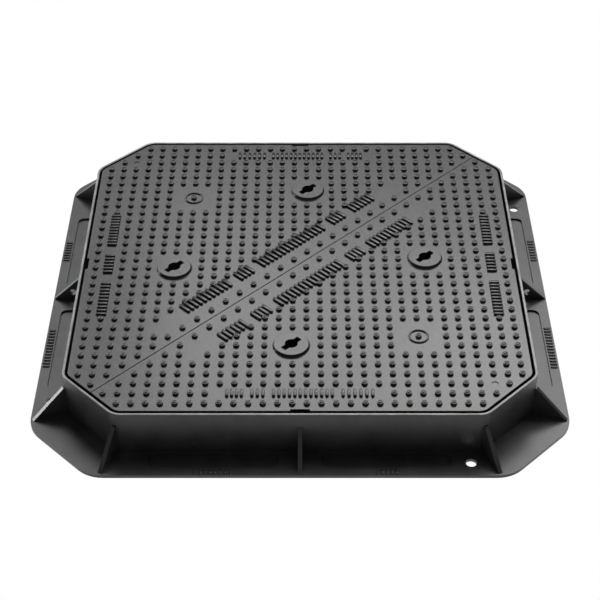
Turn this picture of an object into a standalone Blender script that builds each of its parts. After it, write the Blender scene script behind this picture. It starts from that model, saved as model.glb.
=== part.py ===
"""Cast-iron access cover: an octagonal frame and two triangular cover halves.

Metres, +Z up. The origin is the middle of the frame's base, on the plane that it beds on.
The halves meet along the line y = x: the rear half is where y > x, the front half is the
same casting turned half a turn about Z. Each half rests on three pads on the frame's shelf
and lifts straight up. The coupling bolts stay in the rear half, and the front half hangs
over them on slots that are open at the bottom.
"""

import math

import bmesh
import bpy
from mathutils import Matrix, Vector

MM = 0.001
HALF_TURN = math.pi
ROOT2 = math.sqrt(2)

# Outlines. Every cover and wall outline is the cover's edge, offset.
STUD_PITCH = 20 * MM  # the anti-slip grid, which also sets out the keyways
COVER_HALF = 324.6 * MM  # centre to each long side of the cover
COVER_REACH = 575.4 * MM  # |x| + |y| along the cut corners
COVER_CORNER = 18 * MM
LEAST_CORNER = 8 * MM
CORNER_STEPS = 6
FLANGE_HALF = 380 * MM
FLANGE_REACH = 668 * MM
FLANGE_CORNER = 50 * MM

# Heights
COVER_TOP = 72.5 * MM
PLATE_BOTTOM = 62.5 * MM
SKIRT_BOTTOM = 38 * MM
RIB_BOTTOM = 22 * MM
SHELF_TOP = 32 * MM
SHELF_BOTTOM = 24 * MM
FLANGE_TOP = 5 * MM

# Offsets from the cover's edge, outwards
RIM_INSIDE = 3.9 * MM
WALL_OUTSIDE = 7.5 * MM
WALL_INSIDE = 0.5 * MM
OPENING = -24.5 * MM  # a clear opening 600 mm square, with cut corners
DOWNSTAND_OUTSIDE = -17.5 * MM
SKIRT_OUTSIDE = -5 * MM
SKIRT_THICKNESS = 8 * MM

# Frame details
RIM_BEVEL = 0.5 * MM
RIM_DEPTH = 14.5 * MM
WALL_STEP_HEIGHT = 8 * MM
RIB_THICKNESS = 6 * MM
RIB_FALL = 22 * MM  # from the rim down to where a gusset starts
RIB_SHORT = 0.5 * MM  # from a gusset's end to the flange's edge
GUSSET_HOLE_RADIUS = 5.5 * MM
GUSSET_HOLE_AT = (17 * MM, 19 * MM)  # out from the wall, and up
ANCHOR_HOLE_RADIUS = 7.5 * MM
ANCHOR_HOLE_AT = (234 * MM, -356 * MM)
PANEL_ALONG = (29 * MM, 207.6 * MM)
PANEL_ACROSS = (338.8 * MM, 365.4 * MM)
PANEL_CORNER = 10 * MM
PANEL_DEPTH = 3 * MM

# Cover details
SPLIT_GAP = 1.2 * MM  # between the plates of the two halves
WEB_GAP = 4 * MM  # between their coupling webs
WEB_THICKNESS = 9 * MM
LATTICE_PITCH = 80 * MM
LATTICE_THICKNESS = 9 * MM
LATTICE_RIBS = 4  # on each side of the middle, each way
LATTICE_CLEARANCE = 3 * MM  # from the ribs to the edge of the clear opening
PLATE_BEVEL = 0.4 * MM
NOTCH_SIZE = (26.6 * MM, 3.5 * MM)
MARK_RADIUS = 4.75 * MM
MARK_DEPTH = 1 * MM
MARK_AT = (-13.5 * STUD_PITCH, 13.5 * STUD_PITCH)

# Keyways of the rear half, each with the name that it has on the front half, and its centre
KEYWAYS = [
    ("rear", "front", (0.62 * STUD_PITCH, 9.5 * STUD_PITCH)),
    ("left", "right", (-9.5 * STUD_PITCH, -0.62 * STUD_PITCH)),
]
DISC_RADIUS = 25 * MM  # at its top
DISC_HEIGHT = 4.5 * MM
DISC_DRAFT = 1.8 * MM  # how much wider it is at its foot
DISC_EDGE = 0.5 * MM
SLOT_LENGTH = 32.6 * MM
SLOT_WIDTH = 8.8 * MM
KEY_HOLE_RADIUS = 9.2 * MM
SOCKET_RADIUS = 31 * MM
SOCKET_BOTTOM = 50 * MM
CUP_RADIUS = 25 * MM
CUP_WALL = 2.5 * MM
CUP_BOTTOM = 34 * MM
COLLAR_RADIUS = 30 * MM
COLLAR_THICKNESS = 3 * MM

# Seating pads on the shelf, three for each half, at the cut corners
PAD_WIDTH = 16 * MM
PAD_THICKNESS = 6 * MM
PAD_RECESS = 3 * MM
PAD_MIDDLE = -12 * MM  # offset of the pads' centre line
CORNER_PAD_LENGTH = 50 * MM
END_PAD_LENGTH = 28 * MM
END_PAD_FROM_SPLIT = 26 * MM
FOOT_MARGIN = 2.5 * MM
FOOT_HEIGHT = 15 * MM
# Pads of the rear half: its name, the name it has on the front half, the turn of its cut
# corner, its place along that corner, and its length
PADS = [
    ("rear_corner", "front_corner", 0.75 * HALF_TURN, 0, CORNER_PAD_LENGTH),
    ("rear_right", "front_left", 0.25 * HALF_TURN, END_PAD_FROM_SPLIT, END_PAD_LENGTH),
    ("rear_left", "front_right", 1.25 * HALF_TURN, -END_PAD_FROM_SPLIT, END_PAD_LENGTH),
]

# Coupling bolts, across the split
BOLT_ALONG = (-200 * MM, 200 * MM)
BOLT_HEIGHT = 43 * MM
BOLT_RADIUS = 8 * MM
HEAD_WIDTH = 24 * MM
HEAD_HEIGHT = 10 * MM
NUT_HEIGHT = 13 * MM
WASHER_RADIUS = 15 * MM
WASHER_THICKNESS = 3 * MM
BOLT_PLAY = 1.5 * MM
BOLT_END = 32 * MM
SLOT_CLEARANCE = 1 * MM
SPANNER_ROOM = (44 * MM, 26 * MM)  # along the web, and out from it

TOUCH = 0.3 * MM  # gap that stands for contact
BITE = 3 * MM  # overlap of shapes that are joined, and overshoot of cutters
DRAFT = 1 * MM
EDGE_BREAK = 1 * MM  # chamfer on hardware and cups
ROOM = 2 * MM  # casting clear of what it passes
ROUND_STEPS = 24
DISC_STEPS = 48


# ---- Outlines -------------------------------------------------------------------------


def rounded(corners, radius):
    """A convex outline, counter-clockwise, with each corner turned into an arc."""
    points = []
    for i, corner in enumerate(corners):
        here = Vector(corner)
        back = (Vector(corners[i - 1]) - here).normalized()
        ahead = (Vector(corners[(i + 1) % len(corners)]) - here).normalized()
        turn = HALF_TURN - back.angle(ahead)
        centre = here + (back + ahead).normalized() * radius / math.cos(turn / 2)
        start = here + back * radius * math.tan(turn / 2) - centre
        for step in range(CORNER_STEPS + 1):
            points.append(centre + Matrix.Rotation(turn * step / CORNER_STEPS, 2) @ start)
    return points


def octagon(half, reach, corner):
    cut = reach - half
    sharp = [(half, -cut), (half, cut), (cut, half), (-cut, half)]
    return rounded(sharp + [(-x, -y) for x, y in sharp], corner)


def cover_outline(offset):
    corner = max(COVER_CORNER + offset, LEAST_CORNER)
    return octagon(COVER_HALF + offset, COVER_REACH + offset * ROOT2, corner)


def circle(radius, steps=ROUND_STEPS):
    turns = [2 * HALF_TURN * i / steps for i in range(steps)]
    return [(radius * math.cos(turn), radius * math.sin(turn)) for turn in turns]


def hexagon(width):
    """A hexagon given by its width across flats, with as many points as a circle."""
    points = []
    for i in range(ROUND_STEPS):
        turn = 2 * HALF_TURN * i / ROUND_STEPS
        from_flat = (turn % (HALF_TURN / 3)) - HALF_TURN / 6
        radius = width / 2 / math.cos(from_flat)
        points.append((radius * math.cos(turn), radius * math.sin(turn)))
    return points


def rectangle(low, high):
    return [(low[0], low[1]), (high[0], low[1]), (high[0], high[1]), (low[0], high[1])]


# ---- Solids ---------------------------------------------------------------------------


def as_object(name, mesh):
    bmesh.ops.recalc_face_normals(mesh, faces=mesh.faces)
    data = bpy.data.meshes.new(name)
    mesh.to_mesh(data)
    mesh.free()
    made = bpy.data.objects.new(name, data)
    bpy.context.collection.objects.link(made)
    return made


def stack(name, levels, ring=False):
    """A solid through outlines, given as (outline, z). A ring has no caps: it closes on itself."""
    mesh = bmesh.new()
    loops = [[mesh.verts.new((x, y, z)) for x, y in outline] for outline, z in levels]
    pairs = list(zip(loops, loops[1:]))
    if ring:
        pairs.append((loops[-1], loops[0]))
    else:
        mesh.faces.new(loops[0])
        mesh.faces.new(loops[-1])
    for low, high in pairs:
        for i in range(len(low)):
            mesh.faces.new((low[i - 1], low[i], high[i], high[i - 1]))
    return as_object(name, mesh)


def prism(outline, low, high):
    return stack("prism", [(outline, low), (outline, high)])


def cylinder(radius, low, high, centre=(0, 0)):
    made = prism(circle(radius), low, high)
    return moved(made, Matrix.Translation((*centre, 0)))


def block(low, high):
    return prism(rectangle(low[:2], high[:2]), low[2], high[2])


def moved(piece, matrix):
    piece.data.transform(matrix)
    return piece


def turned(piece, angle):
    return moved(piece, Matrix.Rotation(angle, 4, "Z"))


def combine(body, tool, operation):
    """Joins, cuts or intersects the body with the tool, and removes the tool."""
    modifier = body.modifiers.new(operation.title(), "BOOLEAN")
    modifier.operation = operation
    modifier.solver = "EXACT"
    modifier.object = tool
    graph = bpy.context.evaluated_depsgraph_get()
    result = bpy.data.meshes.new_from_object(body.evaluated_get(graph))
    body.modifiers.clear()
    body.data = result
    bpy.data.objects.remove(tool)


def join(body, tool):
    combine(body, tool, "UNION")


def cut(body, tool):
    combine(body, tool, "DIFFERENCE")


def keep_inside(body, tool):
    combine(body, tool, "INTERSECT")


def finished(piece, name, material, parent=None):
    """Names the piece, gives it its material and shades its round stretches smooth."""
    piece.name = name
    piece.data.name = name
    piece.data.materials.clear()
    piece.data.materials.append(material)
    piece.data.shade_smooth()
    piece.data.set_sharp_from_angle(angle=math.radians(30))
    piece.parent = parent
    return piece


def material(name, colour, roughness, metallic):
    made = bpy.data.materials.new(name)
    made.use_nodes = True
    shader = made.node_tree.nodes["Principled BSDF"]
    shader.inputs["Base Color"].default_value = (*colour, 1)
    shader.inputs["Roughness"].default_value = roughness
    shader.inputs["Metallic"].default_value = metallic
    return made


# ---- Frame ----------------------------------------------------------------------------


def quarter_turns():
    return [i * HALF_TURN / 2 for i in range(4)]


def wall_and_flange():
    """The frame's section, carried once round the octagon."""
    flange = octagon(FLANGE_HALF, FLANGE_REACH, FLANGE_CORNER)
    rim_foot = COVER_TOP - RIM_DEPTH
    return stack(
        "frame",
        [
            (flange, 0),
            (flange, FLANGE_TOP),
            (cover_outline(WALL_OUTSIDE), FLANGE_TOP),
            (cover_outline(WALL_OUTSIDE), COVER_TOP - RIM_BEVEL),
            (cover_outline(WALL_OUTSIDE - RIM_BEVEL), COVER_TOP),
            (cover_outline(RIM_INSIDE + RIM_BEVEL), COVER_TOP),
            (cover_outline(RIM_INSIDE), COVER_TOP - RIM_BEVEL),
            (cover_outline(RIM_INSIDE), rim_foot),
            (cover_outline(WALL_INSIDE), rim_foot - WALL_STEP_HEIGHT),
            (cover_outline(WALL_INSIDE), SHELF_TOP),
            (cover_outline(OPENING), SHELF_TOP),
            (cover_outline(OPENING), 0),
            (cover_outline(DOWNSTAND_OUTSIDE), 0),
            (cover_outline(DOWNSTAND_OUTSIDE), SHELF_BOTTOM),
            (cover_outline(WALL_INSIDE), SHELF_BOTTOM),
            (cover_outline(WALL_INSIDE), 0),
        ],
        ring=True,
    )


def gusset(length):
    """A rib along +X from the wall, at x = 0, to the flange's edge, with its web under the shelf."""
    inner = OPENING - WALL_OUTSIDE + ROOM
    under_shelf = (SHELF_TOP + SHELF_BOTTOM) / 2
    top = COVER_TOP - RIB_FALL
    side = [
        (inner, ROOM),
        (length, ROOM),
        (length, FLANGE_TOP),
        (0, top),
        (-BITE, top),
        (-BITE, under_shelf),
        (inner, under_shelf),
    ]
    made = prism(side, -RIB_THICKNESS / 2, RIB_THICKNESS / 2)
    return moved(made, Matrix.Rotation(HALF_TURN / 2, 4, "X"))


def gusset_places():
    """(matrix, length) of each gusset: one at each side's middle and one at each octagon corner."""
    wall = COVER_HALF + WALL_OUTSIDE
    cut_at = COVER_REACH + WALL_OUTSIDE * ROOT2 - wall
    lean = HALF_TURN / 8
    depth = FLANGE_HALF - wall
    middle = (wall, 0, 0, depth)
    short = (depth - RIB_THICKNESS / 2) / math.cos(lean)
    corners = [(wall, side * cut_at, side * lean, short) for side in (-1, 1)]
    places = []
    for turn in quarter_turns():
        for x, y, angle, length in (middle, *corners):
            local = Matrix.Translation((x, y, 0)) @ Matrix.Rotation(angle, 4, "Z")
            places.append((Matrix.Rotation(turn, 4, "Z") @ local, length - RIB_SHORT))
    return places


def gusset_hole():
    out, up = GUSSET_HOLE_AT
    made = prism(circle(GUSSET_HOLE_RADIUS), -RIB_THICKNESS, RIB_THICKNESS)
    wall = COVER_HALF + WALL_OUTSIDE
    place = Matrix.Translation((wall + out, 0, up)) @ Matrix.Rotation(HALF_TURN / 2, 4, "X")
    return moved(made, place)


def flange_panel(side):
    """Cutter for one shallow recess, beside the middle gusset of the +X side."""
    low, high = sorted(side * along for along in PANEL_ALONG)
    outline = rounded(rectangle((PANEL_ACROSS[0], low), (PANEL_ACROSS[1], high)), PANEL_CORNER)
    return prism(outline, FLANGE_TOP - PANEL_DEPTH, FLANGE_TOP + BITE)


def pad_block(turn, along, length, margin, low, high):
    """A block over a pad's plan, grown by the margin."""
    out = COVER_REACH / ROOT2 + PAD_MIDDLE
    half_width = PAD_WIDTH / 2 + margin
    half_length = length / 2 + margin
    near = (out - half_width, along - half_length, low)
    far = (out + half_width, along + half_length, high)
    return turned(block(near, far), turn)


def make_frame(iron):
    frame = wall_and_flange()
    for matrix, length in gusset_places():
        join(frame, moved(gusset(length), matrix))
    for turn in quarter_turns():
        cut(frame, turned(gusset_hole(), turn))
        cut(frame, turned(cylinder(ANCHOR_HOLE_RADIUS, -BITE, FLANGE_TOP + BITE, ANCHOR_HOLE_AT), turn))
        for side in (-1, 1):
            cut(frame, turned(flange_panel(side), turn))
    for _, _, corner, along, length in PADS:
        for turn in (corner, corner + HALF_TURN):
            cut(frame, pad_block(turn, along, length, TOUCH, SHELF_TOP - PAD_RECESS, SHELF_TOP + BITE))
    return finished(frame, "frame", iron)


def make_pads(rubber, frame):
    bottom = SHELF_TOP - PAD_RECESS + TOUCH
    for rear_name, front_name, corner, along, length in PADS:
        for name, turn in ((rear_name, corner), (front_name, corner + HALF_TURN)):
            pad = pad_block(turn, along, length, 0, bottom, bottom + PAD_THICKNESS)
            finished(pad, f"seat_pad_{name}", rubber, parent=frame)


# ---- Cover halves, modelled as the rear half ------------------------------------------


def rear_side(from_split):
    """Everything on the rear side of the split, beyond the given distance from it."""
    size = 2 * COVER_HALF
    made = block((-size, from_split, -BITE), (size, size, COVER_TOP + 2 * DISC_HEIGHT))
    return turned(made, HALF_TURN / 4)


def plate():
    made = stack(
        "plate",
        [
            (cover_outline(0), PLATE_BOTTOM),
            (cover_outline(0), COVER_TOP - PLATE_BEVEL),
            (cover_outline(-PLATE_BEVEL), COVER_TOP),
        ],
    )
    keep_inside(made, rear_side(SPLIT_GAP / 2))
    return made


def skirt():
    top = PLATE_BOTTOM + BITE
    inside = SKIRT_OUTSIDE - SKIRT_THICKNESS
    return stack(
        "skirt",
        [
            (cover_outline(SKIRT_OUTSIDE), SKIRT_BOTTOM),
            (cover_outline(SKIRT_OUTSIDE + DRAFT), top),
            (cover_outline(inside - DRAFT), top),
            (cover_outline(inside), SKIRT_BOTTOM),
        ],
        ring=True,
    )


def lattice_envelope():
    """Deep inside the clear opening, and shallow where the ribs pass over the shelf."""
    over_shelf = SKIRT_BOTTOM + ROOM
    in_opening = OPENING - LATTICE_CLEARANCE
    to_skirt = SKIRT_OUTSIDE - BITE
    return stack(
        "envelope",
        [
            (cover_outline(in_opening), RIB_BOTTOM),
            (cover_outline(in_opening), over_shelf),
            (cover_outline(to_skirt), over_shelf),
            (cover_outline(to_skirt), PLATE_BOTTOM + BITE),
        ],
    )


def lattice():
    """Ribs under the plate, along X and along Y."""
    reach = COVER_HALF
    low, high = RIB_BOTTOM - BITE, PLATE_BOTTOM + 2 * BITE
    made = None
    for step in range(-LATTICE_RIBS, LATTICE_RIBS):
        middle = (step + 0.5) * LATTICE_PITCH
        near, far = middle - LATTICE_THICKNESS / 2, middle + LATTICE_THICKNESS / 2
        for rib in (
            block((-reach, near, low), (reach, far, high)),
            block((near, -reach, low), (far, reach, high)),
        ):
            if made:
                join(made, rib)
            else:
                made = rib
    return made


def spanner_room(along):
    """Cutter for the ribs around one end of a coupling bolt."""
    half_length = SPANNER_ROOM[0] / 2
    near = WEB_GAP / 2 + WEB_THICKNESS / 2
    made = block(
        (along - half_length, near, 0),
        (along + half_length, near + SPANNER_ROOM[1], COVER_TOP),
    )
    return turned(made, HALF_TURN / 4)


def coupling_web():
    far = WEB_GAP / 2 + WEB_THICKNESS
    made = block((-2 * COVER_HALF, -BITE, 0), (2 * COVER_HALF, far, PLATE_BOTTOM + 2 * BITE))
    return turned(made, HALF_TURN / 4)


def across_split(piece, along):
    """Turns a piece on +Z so that it points from the rear half to the front half, at a bolt's place."""
    place = Vector((along / ROOT2, along / ROOT2, BOLT_HEIGHT))
    point_across = Matrix.Rotation(-HALF_TURN / 4, 4, "Z") @ Matrix.Rotation(HALF_TURN / 2, 4, "Y")
    return moved(piece, Matrix.Translation(place) @ point_across)


def bolt_hole(radius, along):
    reach = WEB_GAP + WEB_THICKNESS
    return across_split(prism(circle(radius), -reach, reach), along)


def slot_below(along):
    """Opens a bolt hole downwards, so that the half lifts off its bolt."""
    half_width = BOLT_RADIUS + SLOT_CLEARANCE
    reach = WEB_GAP + WEB_THICKNESS
    made = block((along - half_width, -reach, 0), (along + half_width, reach, BOLT_HEIGHT))
    return turned(made, HALF_TURN / 4)


def underside():
    made = lattice()
    for along in BOLT_ALONG:
        cut(made, spanner_room(along))
    join(made, coupling_web())
    keep_inside(made, lattice_envelope())
    for _, _, centre in KEYWAYS:
        cut(made, cylinder(SOCKET_RADIUS + ROOM, 0, SOCKET_BOTTOM + TOUCH, centre))
        join(made, cylinder(SOCKET_RADIUS, SOCKET_BOTTOM, PLATE_BOTTOM + BITE, centre))
    join(made, skirt())
    foot = SHELF_TOP - PAD_RECESS + PAD_THICKNESS + 2 * TOUCH
    for _, _, corner, along, length in PADS:
        join(made, pad_block(corner, along, length, FOOT_MARGIN, foot, foot + FOOT_HEIGHT))
    for _, _, centre in KEYWAYS:
        cut(made, cylinder(CUP_RADIUS + TOUCH, 0, COVER_TOP, centre))
    keep_inside(made, rear_side(WEB_GAP / 2))
    return made


def raised_disc(centre):
    top = COVER_TOP + DISC_HEIGHT
    made = stack(
        "disc",
        [
            (circle(DISC_RADIUS + DISC_DRAFT, DISC_STEPS), COVER_TOP - BITE),
            (circle(DISC_RADIUS + DISC_DRAFT, DISC_STEPS), COVER_TOP),
            (circle(DISC_RADIUS, DISC_STEPS), top - DISC_EDGE),
            (circle(DISC_RADIUS - DISC_EDGE, DISC_STEPS), top),
        ],
    )
    return moved(made, Matrix.Translation((*centre, 0)))


def key_slot(centre):
    """Cutter for a lifting key: a slot along the split line, with a round middle."""
    half_length, half_width = SLOT_LENGTH / 2, SLOT_WIDTH / 2
    low, high = PLATE_BOTTOM - BITE, COVER_TOP + 2 * DISC_HEIGHT
    made = turned(block((-half_length, -half_width, low), (half_length, half_width, high)), HALF_TURN / 4)
    join(made, cylinder(KEY_HOLE_RADIUS, low, high))
    return moved(made, Matrix.Translation((*centre, 0)))


def pry_notch():
    """Cutter in the middle of the +X side."""
    width, depth = NOTCH_SIZE
    low, high = PLATE_BOTTOM - BITE, COVER_TOP + BITE
    return block((COVER_HALF - depth, -width / 2, low), (COVER_HALF + BITE, width / 2, high))


def make_cover(name, iron, slotted):
    cover = plate()
    join(cover, underside())
    for _, _, centre in KEYWAYS:
        join(cover, raised_disc(centre))
        cut(cover, key_slot(centre))
    for turn in (HALF_TURN / 2, HALF_TURN):
        cut(cover, turned(pry_notch(), turn))
    cut(cover, cylinder(MARK_RADIUS, COVER_TOP - MARK_DEPTH, COVER_TOP + BITE, MARK_AT))
    for along in BOLT_ALONG:
        if slotted:
            cut(cover, bolt_hole(BOLT_RADIUS + SLOT_CLEARANCE, along))
            cut(cover, slot_below(along))
        else:
            cut(cover, bolt_hole(BOLT_RADIUS + TOUCH, along))
    return finished(cover, name, iron)


# ---- Keyway cups and coupling bolts ---------------------------------------------------


def make_cup(name, centre, plastic, cover):
    collar_top = SOCKET_BOTTOM - TOUCH
    inside = CUP_RADIUS - CUP_WALL
    rim = PLATE_BOTTOM - TOUCH
    cup = stack(
        name,
        [
            (circle(CUP_RADIUS - EDGE_BREAK), CUP_BOTTOM),
            (circle(CUP_RADIUS), CUP_BOTTOM + EDGE_BREAK),
            (circle(CUP_RADIUS), collar_top - COLLAR_THICKNESS),
            (circle(COLLAR_RADIUS), collar_top - COLLAR_THICKNESS),
            (circle(COLLAR_RADIUS), collar_top),
            (circle(CUP_RADIUS), collar_top),
            (circle(CUP_RADIUS), rim),
            (circle(inside), rim),
            (circle(inside), CUP_BOTTOM + CUP_WALL),
        ],
    )
    cup.location = (*centre, 0)
    return finished(cup, name, plastic, parent=cover)


def place_across(piece, name, along, steel, cover):
    piece.location = (along / ROOT2, along / ROOT2, BOLT_HEIGHT)
    piece.rotation_euler = (0, HALF_TURN / 2, -HALF_TURN / 4)
    return finished(piece, name, steel, parent=cover)


def ring_of(outline, radius, low, thickness):
    """A washer or a nut: the outline from low upwards, with a round hole."""
    hole = circle(radius)
    high = low + thickness
    return stack("ring", [(outline, low), (outline, high), (hole, high), (hole, low)], ring=True)


def make_coupling(side, along, steel, cover):
    """A bolt through both webs, with two washers and a lock nut that leaves it some play."""
    hole = BOLT_RADIUS + TOUCH
    web_face = WEB_GAP / 2 + WEB_THICKNESS
    head_washer = -web_face - TOUCH - WASHER_THICKNESS
    head = head_washer - TOUCH - HEAD_HEIGHT
    nut_washer = web_face + BOLT_PLAY
    nut = nut_washer + WASHER_THICKNESS + TOUCH
    bolt = stack(
        "bolt",
        [
            (hexagon(HEAD_WIDTH - 2 * EDGE_BREAK), head),
            (hexagon(HEAD_WIDTH), head + EDGE_BREAK),
            (hexagon(HEAD_WIDTH), head + HEAD_HEIGHT),
            (circle(BOLT_RADIUS), head + HEAD_HEIGHT),
            (circle(BOLT_RADIUS), BOLT_END - EDGE_BREAK),
            (circle(BOLT_RADIUS - EDGE_BREAK), BOLT_END),
        ],
    )
    pieces = {
        f"coupling_bolt_{side}": bolt,
        f"head_washer_{side}": ring_of(circle(WASHER_RADIUS), hole, head_washer, WASHER_THICKNESS),
        f"nut_washer_{side}": ring_of(circle(WASHER_RADIUS), hole, nut_washer, WASHER_THICKNESS),
        f"lock_nut_{side}": ring_of(hexagon(HEAD_WIDTH), hole, nut, NUT_HEIGHT),
    }
    for name, piece in pieces.items():
        place_across(piece, name, along, steel, cover)


# ---- The whole object -----------------------------------------------------------------


def clear_scene():
    for existing in list(bpy.data.objects):
        bpy.data.objects.remove(existing)


def main():
    clear_scene()
    iron = material("cast_iron", (0.075, 0.075, 0.078), 0.6, 0.35)
    rubber = material("pad_rubber", (0.02, 0.02, 0.02), 0.8, 0)
    plastic = material("cup_plastic", (0.03, 0.03, 0.033), 0.5, 0)
    steel = material("bolt_steel", (0.45, 0.45, 0.46), 0.35, 1)

    frame = make_frame(iron)
    make_pads(rubber, frame)
    rear_cover = make_cover("rear_cover", iron, slotted=False)
    front_cover = make_cover("front_cover", iron, slotted=True)
    front_cover.rotation_euler = (0, 0, HALF_TURN)

    for rear_name, front_name, centre in KEYWAYS:
        make_cup(f"keyway_cup_{rear_name}", centre, plastic, rear_cover)
        make_cup(f"keyway_cup_{front_name}", centre, plastic, front_cover)
    for side, along in zip(("left", "right"), BOLT_ALONG):
        make_coupling(side, along, steel, rear_cover)


main()
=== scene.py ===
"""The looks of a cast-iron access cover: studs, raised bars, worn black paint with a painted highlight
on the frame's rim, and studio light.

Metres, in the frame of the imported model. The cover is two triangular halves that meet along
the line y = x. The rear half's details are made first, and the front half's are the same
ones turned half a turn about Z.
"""

import math

import bmesh
import bpy
from mathutils import Matrix, Vector


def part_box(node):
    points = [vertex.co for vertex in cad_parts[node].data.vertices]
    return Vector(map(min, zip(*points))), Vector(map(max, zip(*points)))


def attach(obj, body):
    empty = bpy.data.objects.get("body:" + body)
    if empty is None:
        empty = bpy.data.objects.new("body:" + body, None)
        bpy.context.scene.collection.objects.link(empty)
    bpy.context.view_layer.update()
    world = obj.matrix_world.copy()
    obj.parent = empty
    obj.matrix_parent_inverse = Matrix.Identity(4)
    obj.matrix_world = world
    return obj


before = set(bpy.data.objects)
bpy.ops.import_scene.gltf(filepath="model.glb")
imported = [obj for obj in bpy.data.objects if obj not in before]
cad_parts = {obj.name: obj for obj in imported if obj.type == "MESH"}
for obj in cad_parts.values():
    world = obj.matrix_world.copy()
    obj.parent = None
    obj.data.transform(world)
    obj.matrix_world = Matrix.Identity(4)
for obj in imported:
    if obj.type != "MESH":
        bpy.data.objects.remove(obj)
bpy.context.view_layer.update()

RIM_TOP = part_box("frame")[1].z
HALF_TURN = math.pi
SINK = 0.0004  # how far raised details are set into the casting
SHARP_ANGLE = 50  # degrees: the raised details are shaded sharp along steeper edges

# The anti-slip grid. Places on the covers are in pitches of it, from the middle.
PITCH = 0.020
GRID_REACH = 15.5
CUT_CORNER_REACH = 28
KEYWAYS = [(0.5, 9.5), (-9.5, -0.5), (9.5, 0.5), (-0.5, -9.5)]
RING_MARKS = [(-8.5, 8.5), (8.5, -8.5)]
ROUND_MARKS = [(-13.5, 13.5), (13.5, -13.5)]
CLEARING = 1  # round a keyway or a ring mark, where there are no studs
BAND_LINES = (2, 3)  # away from the split, where the band of bars takes the studs' place
BAND_REACH = 18
SIDE_LINE = 14.5  # of the bars along the edges
SIDE_BARS_REACH = 5.5

# Studs: a round foot, with a button on a narrow ledge
STUD_SCALE = (1.001, 1.0035)  # the studs' pitch, against the grid's
STUD_SHIFT = (0.0007, -0.0009)  # of the rear half's studs, towards the split
STUD_STEPS = 20
# Section of a stud, as (radius, height), from its foot to its flat top
STUD_SECTION = [
    (0.0048, -SINK), (0.00472, 0.0001), (0.0044, 0.0017), (0.0042, 0.0031),
    (0.0040, 0.0034), (0.0038, 0.00342), (0.0024, 0.00347), (0.0022, 0.0037), (0.0018, 0.00422),
    (0.0015, 0.00434), (0.0004, 0.00438),
]

# Section of the ring marks, as (radius, height) round the ring
RING_SECTION = [
    (0.0152, -SINK), (0.0148, 0.0014), (0.0140, 0.0020), (0.0130, 0.0020),
    (0.0122, 0.0014), (0.0118, -SINK),
]
RING_STEPS = 40

# Raised bars. A bar's size is its length across the row and its width. Groups are where a
# run of bars starts and ends along its row, in grid pitches.
BAR_HEIGHT = 0.0032
BAR_DRAFT = 0.0008
BAR_ROUND = 0.0006
BAR_SHOULDER = 0.3  # share of the rounding that is cut away halfway round it
BAR_END_STEPS = 6
BAND_MIDDLE = 2.15  # grid pitches from the split
BAND_BAR_PITCH = 0.0086
BAND_BAR_SIZE = (0.0220, 0.0050)
BAND_GROUPS = [(-10.0, -5.35), (-4.6, -3.05), (-2.3, 4.6), (5.35, 6.9), (7.7, 10.2)]
EDGE_BAR_PITCH = 0.0076
REAR_BAR_SIZE = (0.0140, 0.0044)
REAR_GROUPS = [(-5.2, -2.75), (-2.4, 2.0), (2.35, 3.5), (3.85, 5.2)]
LEFT_BAR_SIZE = (0.0150, 0.0044)
LEFT_GROUPS = [(2.16, 6.2), (-1.28, 1.08), (-6.24, -2.31)]
FLANGE_TOP = 0.005
FLANGE_BARS_OUT = 18.63  # grid pitches from the middle
FLANGE_BAR_PITCH = 0.0068
FLANGE_BAR_SIZE = (0.0104, 0.0034)
FLANGE_BAR_HEIGHT = 0.0017
# For each side of the flange: the front, the right, the rear and the left
FLANGE_GROUPS = [
    [(-7.3, -4.55), (5.1, 6.75)],
    [(4.56, 7.39), (-8.2, -3.5)],
    [(-7.3, -4.55), (5.1, 6.75)],
    [(-7.2, -4.6), (3.75, 8.1)],
]

# Rounded edges of the castings: their width, and whether short edges beside them narrow it
FRAME_EDGES = (0.0006, True)
COVER_EDGES = (0.00028, False)
EDGE_SEGMENTS = 2
EDGE_ANGLE = 40  # degrees: only sharper edges are rounded
FLAT_ANGLE = 1  # degrees: faces that lie flatter than this are joined first
WELD_REACH = 0.00001

# Surfaces
TONE_ENDS = (0.35, 0.70)  # where the mottle reaches its dark and its light colour
GRAIN_HEIGHT = 0.0003
# The frame's rim top turns a lighter grey in patches: partly rubbed-down paint, partly a painted
# highlight.
WORN_AND_HIGHLIT_DEPTH = 0.0008
WORN_AND_HIGHLIT_GREY = (0.42, 0.42, 0.415)
WORN_AND_HIGHLIT_PATCHES = 60  # to a metre, about

# Camera: the lens and sensor in millimetres, and the tilt in degrees from straight down
CAMERA_LENS = 91.8
CAMERA_SENSOR = 36
CAMERA_AWAY = 1.8323
CAMERA_RISE = 1.4303  # above the rim's top
CAMERA_TILT = 50.66

# Soft lights: name, turn from the back, rise, width and height in degrees, and brightness
LIGHT_DISTANCE = 3
SOFTBOXES = [
    ("key", 12, 46, 56, 14, 5.5),
    ("key_edge", 22, 45, 24, 12, 2.0),
    ("over", 15, 62, 96, 20, 2.8),
    ("top", 15, 77, 120, 12, 2.0),
    ("right", 60, 48, 36, 30, 3.8),
    ("right_low", 52, 20, 24, 26, 1.3),
    ("left", -28, 48, 16, 24, 3.2),
    ("left_low", -42, 14, 34, 32, 2.8),
    ("left_edge", -71, 11, 12, 16, 20.0),
    ("middle_low", 0, 34, 50, 8, 2.2),
    ("front_left", -150, 45, 50, 25, 0.5),
    ("front_right", 150, 45, 50, 25, 0.5),
]
WORLD_GREY = 0.08
FLOOR_REACH = 20  # from its middle to each side
FLOOR_DROP = 0.0005  # below the object
FLOOR_BRIGHTNESS = 1.0


# ---- Materials --------------------------------------------------------------------------


def new_material(name):
    made = bpy.data.materials.new(name)
    made.use_nodes = True
    return made, made.node_tree.nodes, made.node_tree.links


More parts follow.
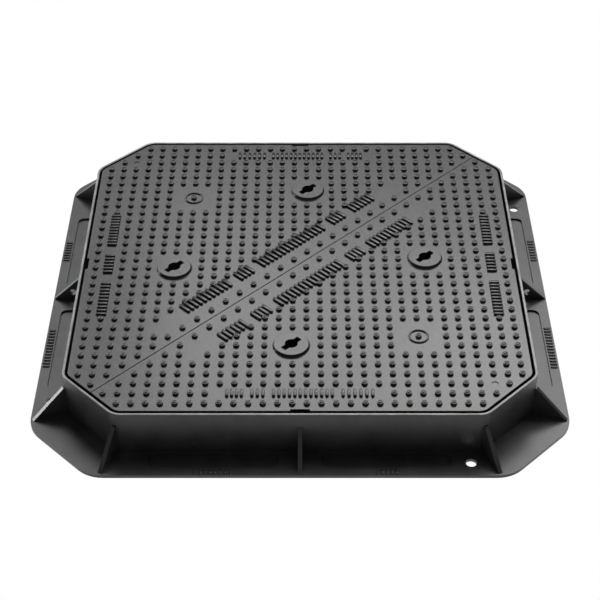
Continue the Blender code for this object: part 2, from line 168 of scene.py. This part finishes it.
def noise_node(nodes, links, coordinates, scale, detail, roughness=0.5):
    made = nodes.new("ShaderNodeTexNoise")
    made.inputs["Scale"].default_value = scale
    made.inputs["Detail"].default_value = detail
    made.inputs["Roughness"].default_value = roughness
    links.new(coordinates, made.inputs["Vector"])
    return made


def rubbed_down_and_highlit(nodes, links, coordinates, colour, height):
    """Fades the colour to a lighter grey over the last bit below the height, in patches: partly
    rubbed-off paint, partly a painted highlight.
    """
    split = nodes.new("ShaderNodeSeparateXYZ")
    links.new(coordinates, split.inputs["Vector"])
    rise = nodes.new("ShaderNodeMapRange")
    rise.inputs["From Min"].default_value = height - WORN_AND_HIGHLIT_DEPTH
    rise.inputs["From Max"].default_value = height
    links.new(split.outputs["Z"], rise.inputs["Value"])
    patches = noise_node(nodes, links, coordinates, WORN_AND_HIGHLIT_PATCHES, detail=3)
    share = nodes.new("ShaderNodeMath")
    share.operation = "MULTIPLY"
    links.new(rise.outputs["Result"], share.inputs[0])
    links.new(patches.outputs["Fac"], share.inputs[1])
    mix = nodes.new("ShaderNodeMix")
    mix.data_type = "RGBA"
    links.new(share.outputs["Value"], mix.inputs["Factor"])
    links.new(colour, mix.inputs["A"])
    # Lighter grey for the rim top: partly paint worn away, partly a painted highlight.
    mix.inputs["B"].default_value = (*WORN_AND_HIGHLIT_GREY, 1)
    return mix.outputs["Result"]


def mottled(nodes, links, coordinates, dark, light, mottle):
    """A tone that drifts between two colours."""
    patches = noise_node(nodes, links, coordinates, mottle, detail=4)
    tone = nodes.new("ShaderNodeValToRGB")
    for element, position, colour in zip(tone.color_ramp.elements, TONE_ENDS, (dark, light)):
        element.position = position
        element.color = (*colour, 1)
    links.new(patches.outputs["Fac"], tone.inputs["Fac"])
    return tone.outputs["Color"]


def grained(nodes, links, coordinates, grain, relief):
    """Normals with a fine grain."""
    grains = noise_node(nodes, links, coordinates, grain, detail=3, roughness=0.6)
    bump = nodes.new("ShaderNodeBump")
    bump.inputs["Strength"].default_value = relief
    bump.inputs["Distance"].default_value = GRAIN_HEIGHT
    links.new(grains.outputs["Fac"], bump.inputs["Height"])
    return bump.outputs["Normal"]


def surface(name, dark, light, roughness, metallic, mottle, grain, relief, worn_and_highlit_above=None):
    """A surface with a mottled tone between two colours, under a fine grain.

    Mottle and grain are how many patches or grains there are to a metre, about. Above the height
    given, the colour turns a lighter grey in patches: partly rubbed-down paint, partly a painted
    highlight.
    """
    made, nodes, links = new_material(name)
    shader = nodes["Principled BSDF"]
    coordinates = nodes.new("ShaderNodeTexCoord").outputs["Object"]
    colour = mottled(nodes, links, coordinates, dark, light, mottle)
    if worn_and_highlit_above is not None:
        colour = rubbed_down_and_highlit(nodes, links, coordinates, colour, worn_and_highlit_above)
    links.new(colour, shader.inputs["Base Color"])
    shader.inputs["Roughness"].default_value = roughness
    shader.inputs["Metallic"].default_value = metallic
    normals = grained(nodes, links, coordinates, grain, relief)
    links.new(normals, shader.inputs["Normal"])
    return made


# ---- Shapes -----------------------------------------------------------------------------


def add_piece(name, mesh, material, body):
    bmesh.ops.recalc_face_normals(mesh, faces=mesh.faces)
    data = bpy.data.meshes.new(name)
    mesh.to_mesh(data)
    mesh.free()
    data.materials.append(material)
    data.shade_smooth()
    data.set_sharp_from_angle(angle=math.radians(SHARP_ANGLE))
    made = bpy.data.objects.new(name, data)
    bpy.context.scene.collection.objects.link(made)
    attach(made, body)
    return made


def circle_loop(mesh, centre, radius, height, steps):
    turns = [2 * HALF_TURN * step / steps for step in range(steps)]
    points = [Vector((radius * math.cos(turn), radius * math.sin(turn), height)) for turn in turns]
    return [mesh.verts.new(centre + point) for point in points]


def join_loops(mesh, low, high):
    for i in range(len(low)):
        mesh.faces.new((low[i - 1], low[i], high[i], high[i - 1]))


def stack_loops(mesh, loops):
    """A closed solid through loops that lie one above the other."""
    for low, high in zip(loops, loops[1:]):
        join_loops(mesh, low, high)
    mesh.faces.new(list(reversed(loops[0])))
    mesh.faces.new(loops[-1])


def stud(mesh, centre):
    loops = [circle_loop(mesh, centre, radius, height, STUD_STEPS) for radius, height in STUD_SECTION]
    stack_loops(mesh, loops)


def near(place, centres, reach):
    return any(max(abs(place[0] - x), abs(place[1] - y)) <= reach for x, y in centres)


def has_stud(x, y):
    if abs(x) + abs(y) > CUT_CORNER_REACH or x == y:
        return False
    if abs(y - x) in BAND_LINES and abs(x + y) <= BAND_REACH:
        return False
    if abs(x) == SIDE_LINE and abs(y) <= SIDE_BARS_REACH:
        return False
    if abs(y) == SIDE_LINE and abs(x) <= SIDE_BARS_REACH:
        return False
    return not near((x, y), KEYWAYS + RING_MARKS, CLEARING) and (x, y) not in ROUND_MARKS


def studs():
    """The rear half's studs."""
    mesh = bmesh.new()
    lines = [i - GRID_REACH for i in range(int(2 * GRID_REACH) + 1)]
    for x, y in [(x, y) for x in lines for y in lines if y > x and has_stud(x, y)]:
        across = x * PITCH * STUD_SCALE[0] + STUD_SHIFT[0]
        back = y * PITCH * STUD_SCALE[1] + STUD_SHIFT[1]
        stud(mesh, Vector((across, back, RIM_TOP)))
    return mesh


def stadium(length, width):
    """An outline round a bar along X with round ends, counter-clockwise."""
    points = []
    for side in (1, -1):
        for step in range(BAR_END_STEPS + 1):
            turn = HALF_TURN * (step / BAR_END_STEPS - side / 2)
            x = side * (length - width) / 2 + width / 2 * math.cos(turn)
            points.append((x, width / 2 * math.sin(turn)))
    return points


def bar(mesh, centre, turn, length, width, height):
    """A raised bar with sloping sides and a softened top edge, lying along the turned X axis."""
    levels = [
        (width + BAR_DRAFT, -SINK),
        (width, height - BAR_ROUND),
        (width - 2 * BAR_SHOULDER * BAR_ROUND, height - BAR_SHOULDER * BAR_ROUND),
        (width - 2 * BAR_ROUND, height),
    ]
    place = Matrix.Translation(centre) @ Matrix.Rotation(turn, 4, "Z")
    loops = []
    for across, z in levels:
        outline = stadium(length + across - width, across)
        loops.append([mesh.verts.new(place @ Vector((x, y, z))) for x, y in outline])
    stack_loops(mesh, loops)


def bar_row(mesh, middle, turn, groups, pitch, size, height):
    """Upright bars side by side along a line, in groups."""
    along = Vector((math.cos(turn), math.sin(turn), 0))
    length, width = size
    for start, end in groups:
        count = max(1, round((end - start) * PITCH / pitch))
        for i in range(count):
            shift = start * PITCH + (i + 0.5) * (end - start) * PITCH / count
            bar(mesh, middle + along * shift, turn + HALF_TURN / 2, length, width, height)


def bars():
    """The rear half's raised bars: a band along the split, a row at the rear, a column at the left."""
    mesh = bmesh.new()
    band = Vector((-BAND_MIDDLE, BAND_MIDDLE, 0)) * PITCH / math.sqrt(2) + Vector((0, 0, RIM_TOP))
    bar_row(mesh, band, HALF_TURN / 4, BAND_GROUPS, BAND_BAR_PITCH, BAND_BAR_SIZE, BAR_HEIGHT)
    rear = Vector((0, SIDE_LINE * PITCH, RIM_TOP))
    bar_row(mesh, rear, 0, REAR_GROUPS, EDGE_BAR_PITCH, REAR_BAR_SIZE, BAR_HEIGHT)
    left = Vector((-SIDE_LINE * PITCH, 0, RIM_TOP))
    bar_row(mesh, left, HALF_TURN / 2, LEFT_GROUPS, EDGE_BAR_PITCH, LEFT_BAR_SIZE, BAR_HEIGHT)
    return mesh


def ring_mark():
    """A plain raised ring with a stud in it."""
    mesh = bmesh.new()
    x, y = RING_MARKS[0]
    centre = Vector((x * PITCH, y * PITCH, RIM_TOP))
    loops = [circle_loop(mesh, centre, radius, height, RING_STEPS) for radius, height in RING_SECTION]
    for low, high in zip(loops, loops[1:] + loops[:1]):
        join_loops(mesh, low, high)
    stud(mesh, centre)
    return mesh


def flange_bars():
    """Raised bars on the frame's flange, beside its recessed panels."""
    mesh = bmesh.new()
    for side, groups in enumerate(FLANGE_GROUPS):
        turn = side * HALF_TURN / 2
        place = Matrix.Rotation(turn, 3, "Z") @ Vector((0, -FLANGE_BARS_OUT * PITCH, FLANGE_TOP))
        bar_row(mesh, place, turn, groups, FLANGE_BAR_PITCH, FLANGE_BAR_SIZE, FLANGE_BAR_HEIGHT)
    return mesh


def half_turned(mesh):
    bmesh.ops.rotate(mesh, verts=mesh.verts, matrix=Matrix.Rotation(HALF_TURN, 3, "Z"))
    return mesh


# ---- Carried-over CAD nodes -------------------------------------------------------------


def soften(node, width, narrowed):
    """Rounds a CAD node's edges."""
    weld = node.modifiers.new("Weld", "WELD")
    weld.merge_threshold = WELD_REACH
    flatten = node.modifiers.new("Flatten", "DECIMATE")
    flatten.decimate_type = "DISSOLVE"
    flatten.angle_limit = math.radians(FLAT_ANGLE)
    bevel = node.modifiers.new("Bevel", "BEVEL")
    bevel.width = width
    bevel.segments = EDGE_SEGMENTS
    bevel.limit_method = "ANGLE"
    bevel.angle_limit = math.radians(EDGE_ANGLE)
    bevel.harden_normals = True
    bevel.use_clamp_overlap = narrowed


def dress(node, material):
    node.data.materials.clear()
    node.data.materials.append(material)


def dress_cad_nodes(frame_iron, iron, rubber, plastic, steel):
    for name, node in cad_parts.items():
        if name == "frame":
            dress(node, frame_iron)
            soften(node, *FRAME_EDGES)
        elif name.endswith("_cover"):
            dress(node, iron)
            soften(node, *COVER_EDGES)
        elif name.startswith("seat_pad"):
            dress(node, rubber)
        elif name.startswith("keyway_cup"):
            dress(node, plastic)
        else:
            dress(node, steel)


# ---- Stage ------------------------------------------------------------------------------


def make_camera():
    data = bpy.data.cameras.new("camera")
    data.lens = CAMERA_LENS
    data.sensor_width = CAMERA_SENSOR
    camera = bpy.data.objects.new("camera", data)
    camera.location = (0, -CAMERA_AWAY, RIM_TOP + CAMERA_RISE)
    camera.rotation_euler = (math.radians(CAMERA_TILT), 0, 0)
    bpy.context.scene.collection.objects.link(camera)
    bpy.context.scene.camera = camera


def make_softbox(name, turn, rise, width, height, brightness):
    """A soft light on a sphere round the object. Angles are in degrees, the turn from the back."""
    turn, rise = math.radians(turn), math.radians(rise)
    away = Vector((math.cos(rise) * math.sin(turn), math.cos(rise) * math.cos(turn), math.sin(rise)))
    data = bpy.data.lights.new(name, "AREA")
    data.shape = "RECTANGLE"
    data.size = LIGHT_DISTANCE * math.radians(width) * math.cos(rise)
    data.size_y = LIGHT_DISTANCE * math.radians(height)
    data.energy = HALF_TURN * data.size * data.size_y * brightness
    light = bpy.data.objects.new(name, data)
    light.location = away * LIGHT_DISTANCE
    light.rotation_euler = (-away).to_track_quat("-Z", "Y").to_euler()
    light.visible_camera = False
    bpy.context.scene.collection.objects.link(light)


def make_floor():
    made, nodes, links = new_material("floor")
    nodes.remove(nodes["Principled BSDF"])
    glow = nodes.new("ShaderNodeEmission")
    glow.inputs["Strength"].default_value = FLOOR_BRIGHTNESS
    links.new(glow.outputs["Emission"], nodes["Material Output"].inputs["Surface"])
    mesh = bmesh.new()
    bmesh.ops.create_grid(mesh, x_segments=1, y_segments=1, size=FLOOR_REACH)
    data = bpy.data.meshes.new("floor")
    mesh.to_mesh(data)
    mesh.free()
    data.materials.append(made)
    floor = bpy.data.objects.new("floor", data)
    floor.location.z = -FLOOR_DROP
    bpy.context.scene.collection.objects.link(floor)


def make_world():
    world = bpy.data.worlds.new("studio")
    world.use_nodes = True
    bpy.context.scene.world = world
    grey = (WORLD_GREY, WORLD_GREY, WORLD_GREY, 1)
    world.node_tree.nodes["Background"].inputs["Color"].default_value = grey


# ---- The scene --------------------------------------------------------------------------

make_camera()
make_world()
make_floor()
for softbox in SOFTBOXES:
    make_softbox(*softbox)
bpy.context.scene.view_settings.view_transform = "Standard"

iron = surface(
    "painted_cast_iron", (0.011, 0.011, 0.0115), (0.020, 0.020, 0.0205),
    roughness=0.24, metallic=0, mottle=35, grain=1200, relief=0.12,
)
# The frame's rim top is lightened in patches: partly wear, partly a painted highlight.
frame_iron = surface(
    "painted_frame_iron", (0.018, 0.018, 0.0185), (0.034, 0.034, 0.0345),
    roughness=0.34, metallic=0, mottle=28, grain=1000, relief=0.15, worn_and_highlit_above=RIM_TOP,
)
rubber = surface(
    "moulded_rubber", (0.016, 0.016, 0.016), (0.034, 0.033, 0.032),
    roughness=0.75, metallic=0, mottle=60, grain=1500, relief=0.4,
)
plastic = surface(
    "moulded_plastic", (0.022, 0.022, 0.024), (0.034, 0.034, 0.037),
    roughness=0.45, metallic=0, mottle=50, grain=1200, relief=0.2,
)
steel = surface(
    "zinc_plated_steel", (0.42, 0.42, 0.40), (0.60, 0.60, 0.58),
    roughness=0.38, metallic=1, mottle=120, grain=2000, relief=0.3,
)
dress_cad_nodes(frame_iron, iron, rubber, plastic, steel)
for what, make in (("studs", studs), ("bars", bars), ("ring_mark", ring_mark)):
    add_piece(f"rear_{what}", make(), iron, "rear_half")
    add_piece(f"front_{what}", half_turned(make()), iron, "front_half")
add_piece("flange_bars", flange_bars(), frame_iron, "frame")
